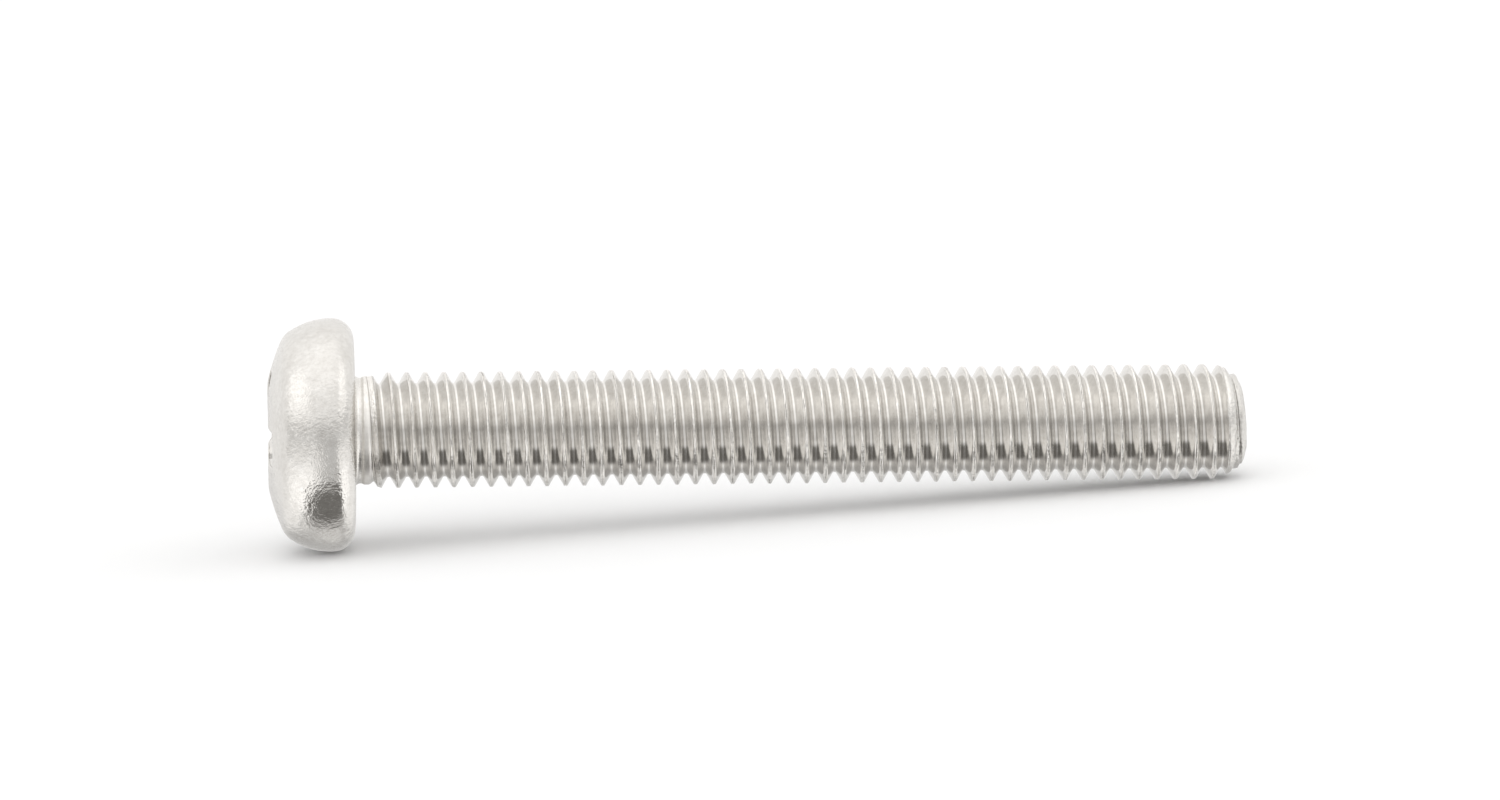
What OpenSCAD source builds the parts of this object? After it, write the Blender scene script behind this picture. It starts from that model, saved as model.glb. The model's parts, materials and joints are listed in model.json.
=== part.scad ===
// Machine screw, M8 x 60, raised cheese (pan) head with a No. 4 cross recess,
// right-hand coarse thread to the head. Stainless steel, one solid.
//
// Frame: millimetres, +Z up. The origin is the centre of the bearing face under
// the head. The screw lies on a level surface as it comes to rest: on the rim of
// its head and on the last full thread crest, head towards -X, point towards +X,
// so its axis falls from the head to the point by rest_tilt degrees.
//
// The thread is drawn as a plain cylinder at the crest diameter. Its lead is
// `pitch` and its hand is right.

/* [Thread] */
// Crest diameter of the thread (M8 6g runs from 7.76 to 7.97)
crest_d = 7.8; // [7.76:0.01:7.97]
// Length from the bearing face to the end of the point
screw_len = 60; // [16:1:100]
// Plain neck between the bearing face and the first thread
neck_len = 1.0; // [0.8:0.1:3]
// Diameter of the neck, close to the pitch diameter
neck_d = 7.3; // [7.1:0.05:7.5]
// Length over which the thread runs out at the neck
runout_len = 0.9; // [0.3:0.1:1.5]
// Fillet between neck and bearing face
fillet_r = 0.4; // [0.3:0.05:0.6]
// Length of the tapered point
point_len = 2; // [1.5:0.1:3]
// Diameter of the flat end of the point
point_d = 5.8; // [5:0.1:6.2]

/* [Head] */
// Largest diameter of the head
head_d = 15.7; // [15.5:0.02:16]
// Height of the head above the bearing face
head_h = 5.8; // [5.7:0.05:6]
// Radius that rounds the rim onto the bearing face
rim_r = 1.5; // [1.1:0.1:1.6]
// Radius of the side of the head, from the rim up to the crown
side_r = 5.1; // [5:0.1:5.6]
// Radius of the domed crown
crown_r = 16; // [14:1:20]
// How much of the dome's tip the flat round the recess takes off
crown_flat = 0.39; // [0.3:0.01:0.45]
// How far the forged head sits off the thread's axis, towards the surface below
head_off = 0.27; // [0:0.01:0.35]

/* [Cross recess] */
// Diameter across the wings at the mouth
recess_m = 9.0; // [8.6:0.1:9.2]
// Diameter where the wing tips meet the bottom cone
recess_g = 5.08; // [4.8:0.02:5.2]
// Width of a wing at the bottom
wing_w = 1.2; // [1.1:0.05:1.4]
// Draft of a wing's two sides, in degrees
wing_draft = 7; // [5:0.5:8]
// Slope of a wing's outer edge from the axis, in degrees
wing_slope = 26.5; // [26:0.25:27]
// Turn of the recess about the screw's axis, in degrees
recess_turn = 84; // [0:1:90]

/* [Hidden] */
$fn = 96;

crest_r = crest_d / 2;
neck_r = neck_d / 2;
point_r = point_d / 2;
head_r = head_d / 2;

// The point: crests start to fall at full_end, and fall faster to the end.
full_end = screw_len - point_len;

// Rest attitude: the line that touches the rim's round and the last full crest.
rest_a = full_end + rim_r;
rest_b = (head_r - rim_r + head_off) - crest_r;
rest_tilt = asin(rim_r / sqrt(rest_a * rest_a + rest_b * rest_b)) + atan(rest_b / rest_a);

// Recess: the mouth lies where the wings cut the crown, mouth_h above the
// bearing face; the wings end wing_deep below it and the bottom cone starts.
crown_top = head_h + crown_flat;
mouth_h = min(head_h, crown_top - crown_r + sqrt(crown_r * crown_r - recess_m * recess_m / 4));
wing_deep = (recess_m - recess_g) / 2 / tan(wing_slope);
wing_bottom = mouth_h - wing_deep;
cone_deep = 0.8;
cone_slope = 28;
over = 1;

// Radius r across and height h up: the head's half section.
module head_section() {
    intersection() {
        union() {
            square([head_r - rim_r, rim_r]);
            square([head_r - side_r + 0.5, head_h]);
            intersection() {
                translate([head_r - rim_r, rim_r]) circle(r = rim_r);
                square([head_r + 1, rim_r]);
            }
            intersection() {
                translate([head_r - side_r, rim_r]) circle(r = side_r);
                translate([0, rim_r]) square([head_r + 1, head_h]);
            }
        }
        translate([0, crown_top - crown_r]) circle(r = crown_r);
        square([head_r + 1, head_h]);
    }
}

// The shank's half section: neck, run-out, thread at its crests, point.
module shank_section() {
    difference() {
        polygon([
            [0, over], [neck_r + fillet_r, over], [neck_r + fillet_r, -fillet_r],
            [neck_r, -fillet_r], [neck_r, -neck_len],
            [crest_r, -neck_len - runout_len], [crest_r, -full_end],
            [crest_r - 0.17, -full_end - 0.36 * point_len],
            [point_r + 0.4, -full_end - 0.78 * point_len],
            [point_r, -screw_len], [0, -screw_len]
        ]);
        translate([neck_r + fillet_r, -fillet_r]) circle(r = fillet_r);
    }
}

// One pair of opposite wings, wider at the mouth by the draft.
module wing_pair(w, draft, low, high) {
    t = w / 2 + (high - low) * tan(draft);
    translate([-recess_m, 0, 0]) rotate([90, 0, 90])
        linear_extrude(height = 2 * recess_m)
            polygon([[-w / 2, low], [w / 2, low], [t, high], [-t, high]]);
}

// The recess: two pairs of wings and the sloped corners between them, inside
// the cone of the wing tips and the shallow cone at the bottom.
module cross_recess() {
    low = wing_bottom - cone_deep;
    top = head_h + over;
    core = 1.85;
    intersection() {
        rotate_extrude() polygon([
            [0, low], [recess_g / 2 - cone_deep / tan(cone_slope), low],
            [recess_g / 2, wing_bottom],
            [recess_g / 2 + (top - wing_bottom) * tan(wing_slope), top], [0, top]
        ]);
        union() {
            wing_pair(wing_w, wing_draft, low, top);
            rotate([0, 0, 90]) wing_pair(wing_w, wing_draft, low, top);
            intersection() {
                rotate([0, 0, 45]) wing_pair(core, 12, low, top);
                rotate([0, 0, 135]) wing_pair(core, 12, low, top);
            }
        }
    }
}

// The screw upright, head up, bearing face at z = 0.
module screw_upright() {
    difference() {
        union() {
            translate([-head_off, 0, 0]) rotate_extrude() head_section();
            rotate_extrude() shank_section();
        }
        translate([-head_off, 0, 0]) rotate([0, 0, recess_turn]) cross_recess();
    }
}

// The screw as it lies.
module screw() {
    color([0.80, 0.79, 0.77]) rotate([0, rest_tilt - 90, 0]) screw_upright();
}

screw();
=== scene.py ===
# The look of the machine screw: one closed mesh with its helical thread, cross
# recess and forged head, in procedural stainless steel, on a pale studio floor.
import json
import math

import bmesh
import bpy
import numpy as np
from mathutils import Matrix, Vector


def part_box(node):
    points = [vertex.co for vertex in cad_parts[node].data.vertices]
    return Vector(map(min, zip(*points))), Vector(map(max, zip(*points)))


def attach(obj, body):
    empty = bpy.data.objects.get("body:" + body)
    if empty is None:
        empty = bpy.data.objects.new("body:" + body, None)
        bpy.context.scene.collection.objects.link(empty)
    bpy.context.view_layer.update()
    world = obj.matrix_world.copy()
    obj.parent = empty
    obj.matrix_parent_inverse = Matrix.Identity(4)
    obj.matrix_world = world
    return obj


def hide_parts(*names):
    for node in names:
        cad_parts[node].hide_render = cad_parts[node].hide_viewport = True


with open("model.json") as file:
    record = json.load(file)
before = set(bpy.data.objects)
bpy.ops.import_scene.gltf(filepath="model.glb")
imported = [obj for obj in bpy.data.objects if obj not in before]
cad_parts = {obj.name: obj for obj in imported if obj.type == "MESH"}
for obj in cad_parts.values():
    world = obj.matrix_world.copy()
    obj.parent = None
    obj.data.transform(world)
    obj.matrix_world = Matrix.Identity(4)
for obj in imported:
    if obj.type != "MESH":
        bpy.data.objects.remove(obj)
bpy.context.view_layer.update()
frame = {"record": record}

# ---------------------------------------------------------------- frame
MOUNTS = {m["name"]: m for m in frame["record"]["mounts"]}
AX = np.array(MOUNTS["bearing_face"]["axis"], float)
AX /= np.linalg.norm(AX)
YY = np.array([0.0, 1.0, 0.0])
UP = np.cross(YY, AX) * -1.0
UP = UP if UP[2] > 0 else -UP
TO_CAM = -YY
FLOOR_Z = float(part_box("screw")[0][2])

# sizes in millimetres; s runs from the bearing face to the point, along the axis
PITCH = 1.25
CREST_R = float(MOUNTS["thread"]["dims"]["r_mm"])
ROOT_R = 3.13
NECK_R = 3.65
HEAD_H = 5.8
HEAD_R = 7.85
RIM_R = 1.5
SIDE_R = 5.1
CROWN_R = 16.0
CROWN_TOP = HEAD_H + 0.39
HEAD_OFF = 0.27
RECESS_TURN = math.radians(84)


# ---------------------------------------------------------------- camera
def camera_axes(elevation):
    """Forward, right and down of a camera that sees the screw's axis as framed."""
    fwd_on_ax = 0.06962
    sin_e = math.sin(math.radians(elevation))
    fx = (fwd_on_ax + sin_e * AX[2]) / AX[0]
    fwd = np.array([fx, math.sqrt(1 - fx * fx - sin_e * sin_e), -sin_e])
    across = AX - fwd * (AX @ fwd)
    across /= np.linalg.norm(across)
    other = np.cross(fwd, across)
    other = other if other[2] < 0 else -other
    roll = math.radians(-0.617)
    right = across * math.cos(roll) - other * math.sin(roll)
    down = across * math.sin(roll) + other * math.cos(roll)
    return fwd, right, down


F_PX = 7265.3
DIST = 0.4876
FWD, RIGHT, DOWN = camera_axes(8.0)
cam_at = -(
    RIGHT * (354.4155 - 750) / F_PX * DIST
    + DOWN * (430.601 - 400) / F_PX * DIST
    + FWD * DIST
)
cam_data = bpy.data.cameras.new("camera")
cam_data.sensor_width = 36.0
cam_data.lens = F_PX * 36.0 / 1500.0
cam_data.clip_start = 0.01
cam_data.clip_end = 50.0
cam = bpy.data.objects.new("camera", cam_data)
bpy.context.scene.collection.objects.link(cam)
cam.matrix_world = Matrix(
    [
        [RIGHT[0], -DOWN[0], -FWD[0], cam_at[0]],
        [RIGHT[1], -DOWN[1], -FWD[1], cam_at[1]],
        [RIGHT[2], -DOWN[2], -FWD[2], cam_at[2]],
        [0, 0, 0, 1],
    ]
)
bpy.context.scene.camera = cam

# where the thread's crests cross the top, turned to match the camera's own top
facing = -FWD - AX * (-FWD @ AX)
facing_angle = math.atan2(facing @ TO_CAM, facing @ UP)
PHASE = 1.0282 + PITCH * (math.pi / 2 - facing_angle) / (2 * math.pi)


# ---------------------------------------------------------------- helpers
def smooth(x, a, b):
    t = np.clip((x - a) / (b - a), 0, 1)
    return t * t * (3 - 2 * t)


def soft_min(a, b, k):
    h = np.clip(0.5 + 0.5 * (b - a) / k, 0, 1)
    return b + (a - b) * h - k * h * (1 - h)


def soft_max(a, b, k):
    return -soft_min(-a, -b, k)


def waves(points, size, seed, n=14):
    """Smooth irregular waves over space, about -1 to 1, of the given size in mm."""
    rng = np.random.default_rng(seed)
    out = np.zeros(len(points))
    for _ in range(n):
        k = rng.normal(size=3)
        k *= 2 * math.pi / (size * rng.uniform(0.75, 1.6)) / np.linalg.norm(k)
        out += np.sin(points @ k + rng.uniform(0, 2 * math.pi))
    return out / math.sqrt(n)


def neck(s):
    """The short neck under the head: it swells a little towards the first ridge."""
    return NECK_R - 0.1 * (1 - smooth(s, 0.42, 0.68))


class Builder:
    """Collects vertices in screw coordinates (s, up, towards the camera), in mm."""

    def __init__(self):
        self.points, self.faces, self.mats, self.finish, self.count = [], [], [], [], 0

    def add(self, pts, finish):
        """How grainy, or how grainy, how light and how matt; the lightness is painted light: painted highlights,
        painted shade and painted sheen.
        """
        pts = np.asarray(pts, float).reshape(-1, 3)
        first = self.count
        self.points.append(pts)
        if np.ndim(finish) == 0:
            finish = (finish, 1.0, 0.0)
        self.finish.append(np.broadcast_to(np.asarray(finish, float), (len(pts), 3)).copy())
        self.count += len(pts)
        return np.arange(first, first + len(pts))

    def face(self, ids, mat):
        kept = []
        for i in ids:
            if not kept or i != kept[-1]:
                kept.append(int(i))
        if len(kept) > 1 and kept[0] == kept[-1]:
            kept.pop()
        if len(set(kept)) > 2:
            self.faces.append(tuple(kept))
            self.mats.append(mat)

    def ring(self, a, b, mat):
        n = len(a)
        for i in range(n):
            j = (i + 1) % n
            self.face((a[i], b[i], b[j], a[j]), mat)

    def fan(self, centre, a, mat, flip=False):
        n = len(a)
        for i in range(n):
            j = (i + 1) % n
            self.face((centre, a[j], a[i]) if flip else (centre, a[i], a[j]), mat)

    def zip(self, a, ang_a, b, ang_b, mat):
        """Joins two rings of different counts; both angles rise from near 0."""
        ia = ib = 0
        na, nb = len(a), len(b)
        while ia < na or ib < nb:
            next_a = ang_a[ia + 1] if ia + 1 < na else ang_a[0] + 2 * math.pi
            next_b = ang_b[ib + 1] if ib + 1 < nb else ang_b[0] + 2 * math.pi
            if ib >= nb or (ia < na and next_a <= next_b):
                self.face((a[ia % na], b[ib % nb], a[(ia + 1) % na]), mat)
                ia += 1
            else:
                self.face((a[ia % na], b[ib % nb], b[(ib + 1) % nb]), mat)
                ib += 1


B = Builder()
HEAD, THREAD = 0, 1


# ---------------------------------------------------------------- recess

def crown_height(r):
    dome = CROWN_TOP - CROWN_R + np.sqrt(np.maximum(CROWN_R**2 - r * r, 0))
    return soft_min(dome, np.full_like(r, HEAD_H), 0.09)


MOUTH_H = min(HEAD_H, CROWN_TOP - CROWN_R + math.sqrt(CROWN_R**2 - 4.5**2))
WING_DEEP = (9.0 - 5.08) / 2 / math.tan(math.radians(26.5))
WING_BOTTOM = MOUTH_H - WING_DEEP
LOW = WING_BOTTOM - 0.8
PARTS = (("tip", 7), ("side", 9), ("facet", 3))
PER_OCTANT = sum(n for _, n in PARTS)
RING_N = 8 * PER_OCTANT


def cross_outline(h, dense=24):
    """The recess's outline at height h, RING_N points, corners a little rounded."""
    w = 0.6 + (h - LOW) * math.tan(math.radians(7))
    c = 0.925 + (h - LOW) * math.tan(math.radians(12))
    if h < WING_BOTTOM:
        big = 2.54 - (WING_BOTTOM - h) / math.tan(math.radians(28))
    else:
        big = 2.54 + (h - WING_BOTTOM) * math.tan(math.radians(26.5))
    w = min(w, big * 0.62)
    c = min(c, big * 0.95)
    corner = math.asin(w / big)
    pts = []
    for i in range(PARTS[0][1] * dense):
        a = corner * i / (PARTS[0][1] * dense)
        pts.append((big * math.cos(a), big * math.sin(a)))
    x0, x1 = big * math.cos(corner), max(c * math.sqrt(2) - w, w + 1e-3)
    for i in range(PARTS[1][1] * dense):
        t = i / (PARTS[1][1] * dense)
        t = 0.5 - 0.5 * math.cos(math.pi * t)
        pts.append((x0 + (x1 - x0) * t, w))
    mid = (x1 + w) / 2
    for i in range(PARTS[2][1] * dense):
        t = i / (PARTS[2][1] * dense)
        pts.append((x1 + (mid - x1) * t, w + (mid - w) * t))
    oct_ = np.array(pts)
    # mirror the octant about the diagonal, then repeat it for the four wings
    diag = np.array([[mid, mid]])
    back = oct_[1:][::-1][:, ::-1]
    quad = np.vstack([oct_, diag, back])
    out = []
    for q in range(4):
        a = q * math.pi / 2
        rot = np.array([[math.cos(a), math.sin(a)], [-math.sin(a), math.cos(a)]])
        out.append(quad @ rot)
    ring = np.vstack(out)
    step = np.linalg.norm(np.roll(ring, -1, 0) - ring, axis=1)
    along = np.concatenate([[0], np.cumsum(step)])
    total = along[-1]
    even = np.linspace(0, total, 4096, endpoint=False)
    ex = np.interp(even, along, np.append(ring[:, 0], ring[0, 0]))
    ey = np.interp(even, along, np.append(ring[:, 1], ring[0, 1]))
    sigma = 0.055 / (total / 4096)
    k = np.arange(4096)
    k = np.minimum(k, 4096 - k)
    kernel = np.exp(-0.5 * (k / sigma) ** 2)
    kernel = np.fft.rfft(kernel / kernel.sum())
    ex = np.fft.irfft(np.fft.rfft(ex) * kernel, 4096)
    ey = np.fft.irfft(np.fft.rfft(ey) * kernel, 4096)
    at = along[:-1][::dense]
    px = np.interp(at, np.append(even, total), np.append(ex, ex[0]))
    py = np.interp(at, np.append(even, total), np.append(ey, ey[0]))
    return np.stack([px, py], 1)


LEVELS = np.linspace(LOW, HEAD_H, 56)
TABLE = np.array([cross_outline(h) for h in LEVELS])


def outline_at(h):
    """One point of the wall for each vertex, at its own height."""
    h = np.broadcast_to(h, (RING_N,))
    t = np.clip((h - LOW) / (HEAD_H - LOW) * (len(LEVELS) - 1), 0, len(LEVELS) - 1.001)
    i = t.astype(int)
    f = (t - i)[:, None]
    n = np.arange(RING_N)
    return TABLE[i, n] * (1 - f) + TABLE[i + 1, n] * f


def outward(ring):
    along = np.roll(ring, -1, 0) - np.roll(ring, 1, 0)
    out = np.stack([along[:, 1], -along[:, 0]], 1)
    out /= np.linalg.norm(out, axis=1)[:, None]
    return out


def head_points(xy, h):
    """Points of the head: xy round the head's own axis, h above the bearing face."""
    c, s = math.cos(RECESS_TURN), math.sin(RECESS_TURN)
    # local x is up and local y is away from the camera
    up = xy[:, 0] * c - xy[:, 1] * s - HEAD_OFF
    away = xy[:, 0] * s + xy[:, 1] * c
    return np.stack([-np.broadcast_to(h, (len(xy),)), up, -away], 1)


def head_relief(pts, much=1.0):
    """Slight unevenness of the forged and tumbled head."""
    q = pts.copy()
    w = 0.014 * waves(pts, 4.2, 11) + 0.010 * waves(pts, 1.8, 12)
    q[:, 0] += much * 0.5 * w
    centre = q[:, 1:] + [HEAD_OFF, 0]
    r = np.linalg.norm(centre, axis=1)
    q[:, 1:] += centre / np.maximum(r, 1e-6)[:, None] * (much * w * smooth(r, 3, 7))[:, None]
    return q


rings = []
bottom = outline_at(LOW)
pole = B.add(head_points(np.zeros((1, 2)), LOW - 0.1), 0.6)[0]
rings.append(B.add(head_points(bottom * 0.45, LOW - 0.08), 0.6))
rings.append(B.add(head_points(bottom * 0.85, LOW - 0.03), 0.6))
rings.append(B.add(head_points(bottom, LOW + 0.02), 0.6))
for h in (LOW + 0.15, LOW + 0.4, WING_BOTTOM - 0.1, WING_BOTTOM, WING_BOTTOM + 0.12):
    rings.append(B.add(head_points(outline_at(h), h), 0.5))
EDGE = 0.13
wall = np.full(RING_N, MOUTH_H - EDGE)
for _ in range(6):
    at = outline_at(wall)
    wall = crown_height(np.linalg.norm(at, axis=1)) - EDGE
start = WING_BOTTOM + 0.12
for t in (0.12, 0.25, 0.4, 0.55, 0.7, 0.85, 0.95, 1.0):
    h = start + (wall - start) * t
    rings.append(B.add(head_points(outline_at(h), h), 0.5))
top_wall = outline_at(wall)
out_dir = outward(top_wall)
for a in (22, 45, 67, 90):
    a = math.radians(a)
    at = top_wall + out_dir * EDGE * (1 - math.cos(a))
    h = crown_height(np.linalg.norm(at, axis=1)) - EDGE * (1 - math.sin(a))
    rings.append(B.add(head_relief(head_points(at, h), math.sin(a)), 1.0))
mouth = at
polar = np.unwrap(np.arctan2(mouth[:, 1], mouth[:, 0]))
circle = np.stack([np.cos(polar), np.sin(polar)], 1)
for t in (0.06, 0.16, 0.3, 0.46, 0.64, 0.82, 1.0):
    at = mouth * (1 - t) + circle * 5.1 * t
    h = crown_height(np.linalg.norm(at, axis=1))
    rings.append(B.add(head_relief(head_points(at, h)), 1.0))

# crown, edge, side, rim and bearing face, as radius and height
profile = []
for r in np.linspace(5.25, 6.6, 8):
    profile.append((r, float(crown_height(np.array([r]))[0])))
side_c = HEAD_R - SIDE_R
# the crown and the side meet where their heights are the same
span = np.linspace(6.0, 7.0, 4001)
side_h = RIM_R + np.sqrt(SIDE_R**2 - (span - side_c) ** 2)
r_edge = float(span[np.argmin(np.abs(crown_height(span) - side_h))])
h_edge = float(crown_height(np.array([r_edge]))[0])
ROUND = 0.42
profile = [p for p in profile if p[0] < r_edge - ROUND - 0.02]
side_at = math.asin((h_edge - RIM_R) / SIDE_R)
p_in = np.array([r_edge - ROUND, float(crown_height(np.array([r_edge - ROUND]))[0])])
a_out = side_at - ROUND / SIDE_R
p_out = np.array([side_c + SIDE_R * math.cos(a_out), RIM_R + SIDE_R * math.sin(a_out)])
p_mid = np.array([r_edge, h_edge])
for t in np.linspace(0, 1, 8):
    q = p_in * (1 - t) ** 2 + p_mid * 2 * t * (1 - t) + p_out * t * t
    profile.append((q[0], q[1]))
for a in np.linspace(a_out, 0, 17)[1:]:
    profile.append((side_c + SIDE_R * math.cos(a), RIM_R + SIDE_R * math.sin(a)))
for a in np.linspace(0, -math.pi / 2, 15)[1:]:
    profile.append((HEAD_R - RIM_R + RIM_R * math.cos(a), RIM_R + RIM_R * math.sin(a)))
for r, h in profile:
    pts = head_points(circle * r, h)
    rings.append(B.add(head_relief(pts, smooth(np.array(h), 0.0, 0.6)), 1.0))

# the flat ring under the head passes from the head's own centre to the thread's axis
away_angle = polar + RECESS_TURN


def axis_ring(r, s):
    return np.stack(
        [np.full(RING_N, s), r * np.cos(away_angle), -r * np.sin(away_angle)], 1
    )


FILLET = 0.35
# the neck's grain, its colour lifted 1.28 times as a painted sheen, and its extra roughness
NECK_GRAIN_PAINTED_SHEEN_MATT = (0.5, 1.28, 0.28)
for r, t in ((5.6, 0.35), (4.9, 0.7), (4.3, 1.0)):
    pts = axis_ring(r, 0.0)
    pts[:, 1] -= HEAD_OFF * (1 - t)
    rings.append(B.add(pts, 1.0))
# the fillet under the head has its colour lifted a little, a painted sheen
for a in (0, 22, 45, 67, 90):
    a = math.radians(a)
    rings.append(B.add(axis_ring(NECK_R - 0.1 + FILLET * (1 - math.sin(a)), FILLET * (1 - math.cos(a))), (0.5, 1.08, 0.1)))
for s in (0.4, 0.45, 0.5, 0.55):
    rings.append(B.add(axis_ring(float(neck(np.array(s))), s), NECK_GRAIN_PAINTED_SHEEN_MATT))
B.fan(pole, rings[0], HEAD)
for a, b in zip(rings, rings[1:]):
    B.ring(a, b, HEAD)
neck_ring = rings[-1]

# ---------------------------------------------------------------- thread
COLS = 64
KNEE, ROOT = 0.1725, 0.14  # the radii of the crest and of the root
KNEE_X, ROOT_X = KNEE * math.sin(math.pi / 3), PITCH / 2 - ROOT * math.sin(math.pi / 3)
half = np.array([0, 0.025, 0.05, 0.085, 0.12, KNEE_X, 0.23, 0.32, 0.41, ROOT_X, 0.545, 0.585, 0.625])
rows = np.concatenate([half, PITCH - half[1:-1][::-1]])
ROWS = len(rows)
START_S, STOP_S = 0.62, 59.76
theta = 2 * math.pi * np.arange(COLS) / COLS


def thread_profile(x):
    """Radius over a pitch; x is the distance from the crest's middle, in mm."""
    x = np.abs((x + PITCH / 2) % PITCH - PITCH / 2)
    at_root = ROOT_R + ROOT - np.sqrt(np.maximum(ROOT**2 - (PITCH / 2 - x) ** 2, 0))
    flank = ROOT_R + ROOT / 2 + math.sqrt(3) * (ROOT_X - x)
    top = CREST_R - KNEE + np.sqrt(np.maximum(KNEE**2 - x**2, 0))
    return np.where(x < KNEE_X, top, np.where(x > ROOT_X, at_root, np.minimum(flank, CREST_R)))


def crest_limit(s):
    """How high the thread stands: it grows out of the neck and falls at the point."""
    grow = neck(s) + (CREST_R - NECK_R) * smooth(s, 0.95, 2.1)
    fall = np.interp(s, [57.6, 58.0, 58.55, 58.85, 59.08, 59.2, 59.3, 59.5, 59.62, 59.72, 59.77], [3.93, 3.905, 3.74, 3.62, 3.5, 3.3, 3.21, 3.2, 3.1, 2.88, 2.78])
    return soft_min(grow, fall, 0.05)


def root_limit(s):
    return neck(s) - (NECK_R - ROOT_R) * smooth(s, 0.82, 1.75)


def end_lean(s, up):
    """The end is cut a little aslant, longest at the bottom."""
    return (0.04 - 0.045 * up) * smooth(s, 59.35, 59.75)


first = int(math.floor((START_S - PHASE) / PITCH)) - 2
last = int(math.ceil((STOP_S - PHASE) / PITCH)) + 2
n_rows = (last - first) * ROWS
k = np.arange(n_rows + 1)
s_row = PHASE + PITCH * (first + k // ROWS) + rows[k % ROWS]
x_row = rows[k % ROWS]
S = s_row[:, None] + PITCH * theta[None, :] / (2 * math.pi)
X = np.broadcast_to(x_row[:, None], S.shape)
T = np.broadcast_to(theta[None, :], S.shape)


def place(S, X, T):
    """Vertices of the threaded length, and how grainy each is, how light (painted highlight, painted shade and painted
    sheen) and how matt.
    """
    R = thread_profile(X)
    side = (X + PITCH / 2) % PITCH - PITCH / 2
    x = np.abs(side)
    flat = np.stack([S.ravel(), 3.7 * np.cos(T).ravel(), 3.7 * np.sin(T).ravel()], 1)
    crest = 1 - smooth(x, 0.05, 0.13)
    # rolling leaves a seam along the crest, deeper here and there
    depth = 0.034 + 0.022 * waves(flat, 2.2, 21).reshape(S.shape)
    middle = 0.014 * waves(flat, 1.6, 24).reshape(S.shape)
    seam = np.clip(depth, 0.004, 0.075) * np.exp(-(((side - middle) / 0.03) ** 2))
    rough = 0.004 * waves(flat, 0.9, 22).reshape(S.shape) * crest
    R = R - seam + rough
    lo, hi = root_limit(S), crest_limit(S)
    capped = smooth(R - hi, -0.06, 0.02)
    R = soft_min(soft_max(R, lo, 0.05), hi + rough, 0.04)
    R = R + 0.016 * waves(flat, 0.8, 23).reshape(S.shape) * capped * smooth(hi - 3.0, -0.1, 0.1)
    # at the point the last root is folded almost shut and leaves a narrow crevice
    shut = np.exp(-(((X - 0.5) / 0.05) ** 2)) * smooth(S, 58.9, 59.25)
    R = R - 0.18 * shut * (1 - smooth(S, 59.64, 59.75))
    grain = np.clip(0.12 + 0.3 * crest + capped + smooth(S, 58.3, 58.9), 0, 1)
    # crest and root lines get a lighter colour, a painted highlight; the neck is blasted and matt, and its colour is
    # lifted as a painted sheen
    light = 1 + 0.3 * crest + 0.14 * (1 - smooth(PITCH / 2 - x, 0.05, 0.12))
    # painted shade: dashes of darker colour along the middle of the crest, where the seam folds
    seam_shade = np.clip(0.35 + waves(flat, 3.1, 26), 0, 1) * np.clip(0.6 + 0.7 * waves(flat, 0.6, 27), 0, 1)
    light = light * (1 - 0.5 * seam_shade.reshape(S.shape) * np.exp(-(((side - middle) / 0.024) ** 2)))
    # near the neck the colour takes the neck's painted sheen
    near, end = 1 - smooth(S, 0.85, 1.25), smooth(S, 58.5, 58.9)
    light = (light * (1 - near) + NECK_GRAIN_PAINTED_SHEEN_MATT[1] * near) * (1 - end) + 0.97 * end
    matt = NECK_GRAIN_PAINTED_SHEEN_MATT[2] * near
    up = R * np.cos(T)
    return np.stack([S + end_lean(S, up), up, R * np.sin(T)], -1), np.stack([grain, light, matt], -1)


P3, G = place(S, X, T)
under, over_ = S <= START_S + 0.004, S >= STOP_S - 0.004
ids = np.full(S.shape, -1)
inside = ~(under | over_)
flat_ids = B.add(P3[inside], G[inside])
ids[inside] = flat_ids
r_end = float(crest_limit(np.array([STOP_S]))[0])
r_start = float(neck(np.array(START_S)))
ring_a = B.add(np.stack([np.full(COLS, START_S), r_start * np.cos(theta), r_start * np.sin(theta)], 1), NECK_GRAIN_PAINTED_SHEEN_MATT)
ring_b_pts = np.stack([np.full(COLS, STOP_S), r_end * np.cos(theta), r_end * np.sin(theta)], 1)
ring_b_pts[:, 0] += end_lean(ring_b_pts[:, 0], ring_b_pts[:, 1])
ring_b = B.add(ring_b_pts, (1.0, 0.97, 0))
ids[under] = np.broadcast_to(ring_a[None, :], S.shape)[under]
ids[over_] = np.broadcast_to(ring_b[None, :], S.shape)[over_]


def row_id(kk, j):
    if j == COLS:
        kk, j = kk + ROWS, 0
    if kk > n_rows:
        return ring_b[j]
    return ids[kk, j]


# the first rows of the next turn meet column 0 of this one
for kk in range(-ROWS, n_rows):
    for j in range(COLS):
        if kk < 0:
            if j < COLS - 1:
                continue
            a, b = ring_a[j], row_id(kk, j + 1)
            c, d = row_id(kk + 1, j + 1), ring_a[j]
        else:
            a, b = ids[kk, j], row_id(kk, j + 1)
            c, d = row_id(kk + 1, j + 1), ids[kk + 1, j]
        B.face((a, d, c, b), THREAD)

neck_angle = np.mod(-away_angle, 2 * math.pi)
order = np.argsort(neck_angle)
B.zip(neck_ring[order], neck_angle[order], ring_a, theta, THREAD)

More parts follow.
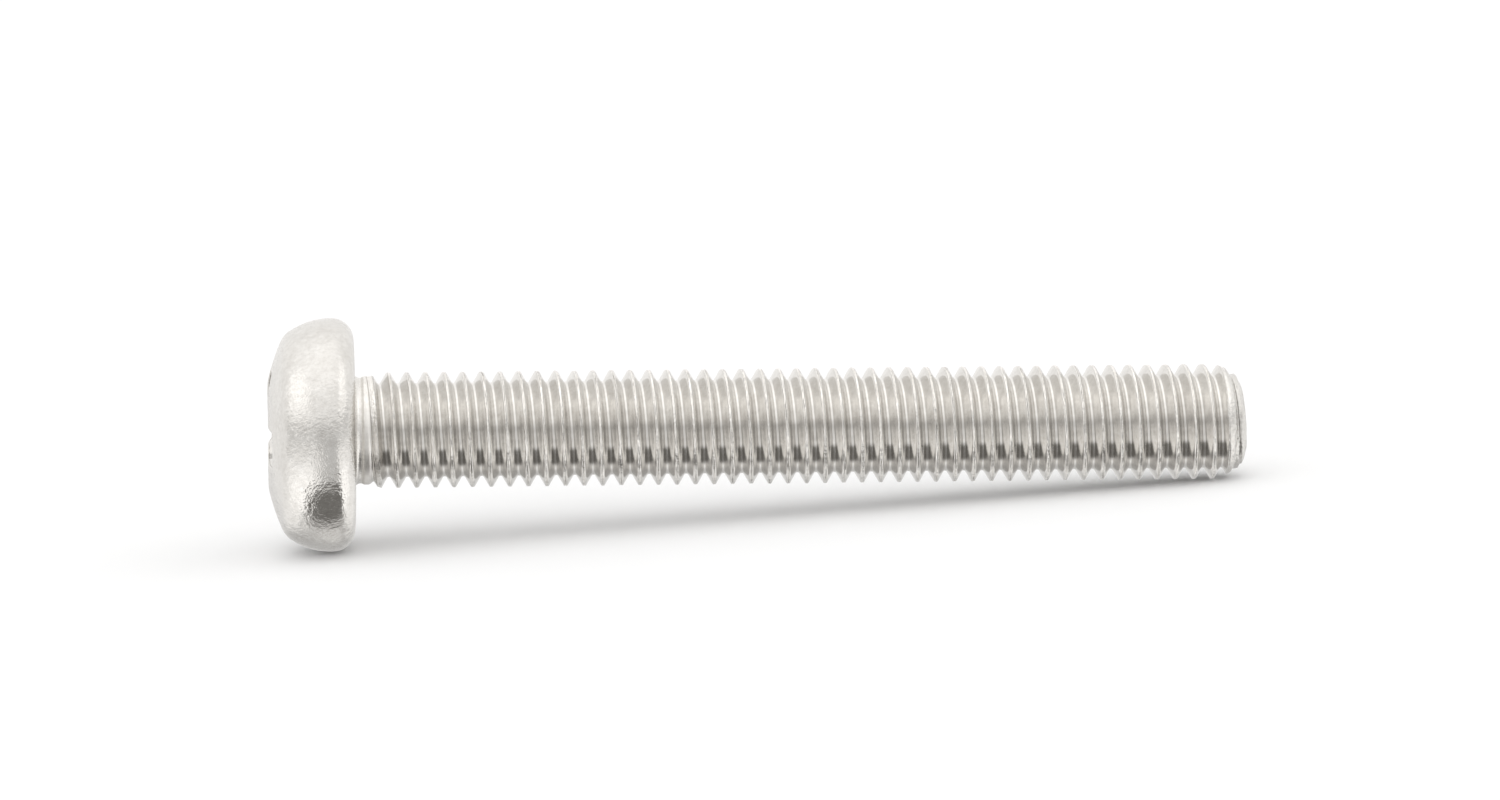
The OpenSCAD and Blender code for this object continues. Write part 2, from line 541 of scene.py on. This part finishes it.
# the end of the point: a rounded edge and a slightly dished face
end_rings = [ring_b]
for r, s in ((2.62, 59.845), (2.4, 59.915), (2.1, 59.965), (1.75, 59.975), (1.2, 59.93), (0.6, 59.89)):
    pts = np.stack([np.full(COLS, s), r * np.cos(theta), r * np.sin(theta)], 1)
    pts[:, 0] += 0.012 * waves(pts, 1.2, 31) + 0.02 + end_lean(pts[:, 0], pts[:, 1])
    end_rings.append(B.add(pts, (1.0, 0.97, 0)))
tip = B.add([[59.96, 0, 0]], (1.0, 0.97, 0))[0]
for a, b in zip(end_rings, end_rings[1:]):
    B.ring(a[::-1], b[::-1], THREAD)
B.fan(tip, end_rings[-1], THREAD, flip=True)

# ---------------------------------------------------------------- mesh
pts = np.vstack(B.points)
world = (
    pts[:, :1] * AX[None, :] + pts[:, 1:2] * UP[None, :] + pts[:, 2:3] * TO_CAM[None, :]
) / 1000.0
mesh = bpy.data.meshes.new("screw_body")
mesh.from_pydata(world.tolist(), [], B.faces)
mesh.polygons.foreach_set("material_index", np.array(B.mats, np.int32))
# per vertex: how grainy, the painted light on the colour, and how matt
finish = mesh.attributes.new("finish", "FLOAT_VECTOR", "POINT")
finish.data.foreach_set("vector", np.vstack(B.finish).astype(np.float32).ravel())
mesh.validate()
mesh.update()
screw = bpy.data.objects.new("screw_body", mesh)
bpy.context.scene.collection.objects.link(screw)
bm = bmesh.new()
bm.from_mesh(mesh)
bmesh.ops.recalc_face_normals(bm, faces=bm.faces)
open_edges = sum(1 for e in bm.edges if len(e.link_faces) != 2)
loose = sum(1 for v in bm.verts if not v.link_faces)
print("mesh:", len(bm.verts), "verts", len(bm.faces), "faces", "open edges", open_edges, "loose", loose)
print("volume mm3:", round(bm.calc_volume(signed=True) * 1e9, 1))
bm.to_mesh(mesh)
bm.free()
mesh.polygons.foreach_set("use_smooth", np.ones(len(mesh.polygons), bool))
mesh.update()
print("triangles:", sum(len(p.vertices) - 2 for p in mesh.polygons))


# ---------------------------------------------------------------- materials
def new_material(name):
    m = bpy.data.materials.new(name)
    m.use_nodes = True
    nt = m.node_tree
    for n in list(nt.nodes):
        nt.nodes.remove(n)
    out = nt.nodes.new("ShaderNodeOutputMaterial")
    bsdf = nt.nodes.new("ShaderNodeBsdfPrincipled")
    nt.links.new(bsdf.outputs[0], out.inputs[0])
    return m, nt, bsdf


def math_node(nt, op, a, b=None, c=None):
    n = nt.nodes.new("ShaderNodeMath")
    n.operation = op
    for i, v in enumerate((a, b, c)):
        if v is None:
            continue
        if isinstance(v, (int, float)):
            n.inputs[i].default_value = v
        else:
            nt.links.new(v, n.inputs[i])
    return n.outputs[0]


def noise(nt, coord, scale, detail=2.0, rough=0.5, distortion=0.0):
    n = nt.nodes.new("ShaderNodeTexNoise")
    n.inputs["Scale"].default_value = scale
    n.inputs["Detail"].default_value = detail
    n.inputs["Roughness"].default_value = rough
    n.inputs["Distortion"].default_value = distortion
    nt.links.new(coord, n.inputs["Vector"])
    return n.outputs["Fac"]


def ramp(nt, fac, stops):
    n = nt.nodes.new("ShaderNodeValToRGB")
    e = n.color_ramp.elements
    e[0].position, e[0].color = stops[0][0], (*stops[0][1], 1)
    e[1].position, e[1].color = stops[-1][0], (*stops[-1][1], 1)
    for p, c in stops[1:-1]:
        x = e.new(p)
        x.color = (*c, 1)
    nt.links.new(fac, n.inputs[0])
    return n.outputs[0]


def steel(name, head):
    m, nt, bsdf = new_material(name)
    tc = nt.nodes.new("ShaderNodeTexCoord")
    co = tc.outputs["Object"]
    at = nt.nodes.new("ShaderNodeAttribute")
    at.attribute_name = "finish"
    parts = nt.nodes.new("ShaderNodeSeparateXYZ")
    nt.links.new(at.outputs["Vector"], parts.inputs[0])
    g, light, matt = parts.outputs
    bsdf.inputs["Metallic"].default_value = 1.0
    big = noise(nt, co, 420, 3, 0.55)
    mottle = noise(nt, co, 1700, 3, 0.6)
    pits = noise(nt, co, 3700, 2, 0.6)
    fine = noise(nt, co, 9000, 1, 0.5)
    tone = math_node(nt, "ADD", math_node(nt, "MULTIPLY", big, 0.3), math_node(nt, "MULTIPLY", mottle, 0.3))
    tone = math_node(nt, "MULTIPLY_ADD", pits, 0.4, tone)
    col = ramp(nt, tone, [(0.36, (0.62, 0.603, 0.578)), (0.64, (0.735, 0.722, 0.70))])
    # the colour is scaled by the painted light from the mesh: painted highlights, painted shade and painted sheen
    toned = nt.nodes.new("ShaderNodeVectorMath")
    toned.operation = "SCALE"
    nt.links.new(col, toned.inputs[0])
    nt.links.new(light, toned.inputs["Scale"])
    nt.links.new(toned.outputs[0], bsdf.inputs["Base Color"])
    if head:
        r = math_node(nt, "MULTIPLY_ADD", mottle, 0.2, 0.07)
        sizes = (0.04, 0.03, 0.014)
    else:
        r = math_node(nt, "MULTIPLY_ADD", g, 0.1, 0.1)
        r = math_node(nt, "MULTIPLY_ADD", mottle, 0.08, r)
        sizes = (0.02, 0.06, 0.012)
        g = math_node(nt, "MULTIPLY", g, math_node(nt, "MULTIPLY", g, g))
    nt.links.new(math_node(nt, "ADD", r, matt), bsdf.inputs["Roughness"])
    b1 = nt.nodes.new("ShaderNodeBump")
    b1.inputs["Strength"].default_value = 1.0
    b1.inputs["Distance"].default_value = 0.001
    height = math_node(nt, "MULTIPLY", mottle, sizes[0])
    height = math_node(nt, "MULTIPLY_ADD", pits, sizes[1], height)
    height = math_node(nt, "MULTIPLY_ADD", fine, sizes[2], height)
    height = math_node(nt, "MULTIPLY", height, g)
    nt.links.new(height, b1.inputs["Height"])
    nt.links.new(b1.outputs[0], bsdf.inputs["Normal"])
    return m


screw.data.materials.append(steel("stainless_head", True))
screw.data.materials.append(steel("stainless_thread", False))
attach(screw, "root")
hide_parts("screw")

# ---------------------------------------------------------------- stage
floor_mesh = bpy.data.meshes.new("floor")
size = 12.0
floor_mesh.from_pydata(
    [(-size, -size, FLOOR_Z), (size, -size, FLOOR_Z), (size, size, FLOOR_Z), (-size, size, FLOOR_Z)],
    [], [(0, 1, 2, 3)],
)
floor = bpy.data.objects.new("floor", floor_mesh)
bpy.context.scene.collection.objects.link(floor)
fm, fnt, fb = new_material("floor_white")
fb.inputs["Base Color"].default_value = (0.92, 0.92, 0.92, 1)
fb.inputs["Roughness"].default_value = 0.9
fb.inputs["Specular IOR Level"].default_value = 0.0
floor_mesh.materials.append(fm)
floor.visible_glossy = False

TENT = 2.06
# the studio: a white tent with a greyer band at eye level and a dark low front
world_ = bpy.data.worlds.new("studio")
bpy.context.scene.world = world_
world_.use_nodes = True
wt = world_.node_tree
for n in list(wt.nodes):
    wt.nodes.remove(n)
w_out = wt.nodes.new("ShaderNodeOutputWorld")
w_tc = wt.nodes.new("ShaderNodeTexCoord")
sep = wt.nodes.new("ShaderNodeSeparateXYZ")
wt.links.new(w_tc.outputs["Generated"], sep.inputs[0])
dx, dy, dz = sep.outputs


def gray_ramp(fac, stops):
    return ramp(wt, fac, [(p, (v / 2, v / 2, v / 2)) for p, v in stops])


z01 = math_node(wt, "MULTIPLY_ADD", dz, 0.5, 0.5)


def zed(stops):
    return gray_ramp(z01, [((z + 1) / 2, v) for z, v in stops])


front = zed([(-1, 0.9), (-0.69, 0.6), (-0.55, 0.64), (-0.39, 0.55), (-0.22, 0.6), (-0.05, 0.56), (0.12, 0.54), (0.29, 0.72), (0.45, 0.9), (0.6, 0.94), (0.73, 0.93), (0.85, 1.08), (0.95, 1.12), (1, 1.16)])
sides = zed([(-1, 1.1), (-0.8, 1.3), (-0.6, 1.28), (-0.45, 1.12), (-0.33, 1.02), (-0.2, 0.98), (-0.05, 0.82), (0.04, 0.68), (0.13, 0.58), (0.25, 0.8), (0.35, 1.0), (0.47, 1.12), (0.58, 1.22), (0.67, 1.36), (0.75, 1.44), (1, 1.24)])
back = zed([(-1, 0.95), (-0.93, 0.75), (-0.8, 0.5), (-0.5, 0.48), (0, 0.88), (0.5, 0.9), (0.8, 0.98), (1, 1.16)])
back_sides = zed([(-1, 1.0), (-0.8, 0.98), (-0.45, 0.96), (-0.25, 0.9), (0, 0.88), (0.5, 0.95), (0.8, 1.0), (1, 1.16)])


def sstep(val, lo, hi):
    n = wt.nodes.new("ShaderNodeMapRange")
    n.interpolation_type = "SMOOTHSTEP"
    n.inputs["From Min"].default_value = lo
    n.inputs["From Max"].default_value = hi
    wt.links.new(val, n.inputs["Value"])
    return n.outputs["Result"]


def mix(fac, a, b):
    n = wt.nodes.new("ShaderNodeMix")
    n.data_type = "RGBA"
    wt.links.new(fac, n.inputs[0])
    for sock, v in ((n.inputs[6], a), (n.inputs[7], b)):
        if isinstance(v, tuple):
            sock.default_value = v
        else:
            wt.links.new(v, sock)
    return n.outputs[2]


absx = math_node(wt, "ABSOLUTE", dx)
low_side = sstep(absx, 0.27, 0.48)
high_side = sstep(absx, 0.5, 0.62)
upper = sstep(dz, -0.1, 0.25)
side_mask = math_node(wt, "ADD", math_node(wt, "MULTIPLY", high_side, upper), math_node(wt, "MULTIPLY", low_side, math_node(wt, "SUBTRACT", 1.0, upper)))
back_mask = sstep(dy, -0.15, 0.2)
env = mix(side_mask, front, sides)
env = mix(back_mask, env, mix(sstep(absx, 0.36, 0.56), back, back_sides))
bent = math_node(wt, "MULTIPLY", dx, dx)
low_z = math_node(wt, "MULTIPLY_ADD", bent, -0.25, dz)
dark = math_node(wt, "MULTIPLY", math_node(wt, "SUBTRACT", 1.0, sstep(absx, 0.5, 0.58)), math_node(wt, "SUBTRACT", 1.0, sstep(low_z, -0.79, -0.61)))
dark = math_node(wt, "MULTIPLY", dark, math_node(wt, "SUBTRACT", 1.0, sstep(dy, -0.06, 0.3)))
env = mix(dark, env, (0.09, 0.088, 0.085, 1))
tint = wt.nodes.new("ShaderNodeMix")
tint.data_type = "RGBA"
tint.blend_type = "MULTIPLY"
tint.inputs[0].default_value = 1.0
wt.links.new(env, tint.inputs[6])
tint.inputs[7].default_value = (1.0, 0.99, 0.975, 1)
bg = wt.nodes.new("ShaderNodeBackground")
wt.links.new(tint.outputs[2], bg.inputs[0])
bg.inputs[1].default_value = 2.42
white = wt.nodes.new("ShaderNodeBackground")
white.inputs[0].default_value = (1, 1, 1, 1)
white.inputs[1].default_value = 1.1
# what lights the floor: a broad soft tent, a little stronger low down
tent = wt.nodes.new("ShaderNodeBackground")
glow = gray_ramp(z01, [(0, 0.2), (0.495, 0.2), (0.5, 2.0), (0.62, 1.5), (0.8, 1.0), (1, 0.95)])
lean = sstep(math_node(wt, "MULTIPLY", dy, -1.0), -0.9, 0.9)
wt.links.new(glow, tent.inputs[0])
lp = wt.nodes.new("ShaderNodeLightPath")
# what comes off the steel: little from below, so the shadow stays dark at the contacts
bounced = math_node(wt, "GREATER_THAN", lp.outputs["Glossy Depth"], 0.5)
level = math_node(wt, "MULTIPLY_ADD", lean, TENT * 0.45, TENT * 0.82)
level = math_node(wt, "MULTIPLY", level, math_node(wt, "MULTIPLY_ADD", bounced, 0.6, 1.0))
wt.links.new(level, tent.inputs[1])
soft = wt.nodes.new("ShaderNodeMixShader")
wt.links.new(math_node(wt, "GREATER_THAN", lp.outputs["Diffuse Depth"], 0.5), soft.inputs[0])
wt.links.new(bg.outputs[0], soft.inputs[1])
wt.links.new(tent.outputs[0], soft.inputs[2])
msh = wt.nodes.new("ShaderNodeMixShader")
wt.links.new(lp.outputs["Is Camera Ray"], msh.inputs[0])
wt.links.new(soft.outputs[0], msh.inputs[1])
wt.links.new(white.outputs[0], msh.inputs[2])
wt.links.new(msh.outputs[0], w_out.inputs[0])

bpy.context.scene.view_settings.view_transform = "Standard"
bpy.context.scene.view_settings.look = "None"
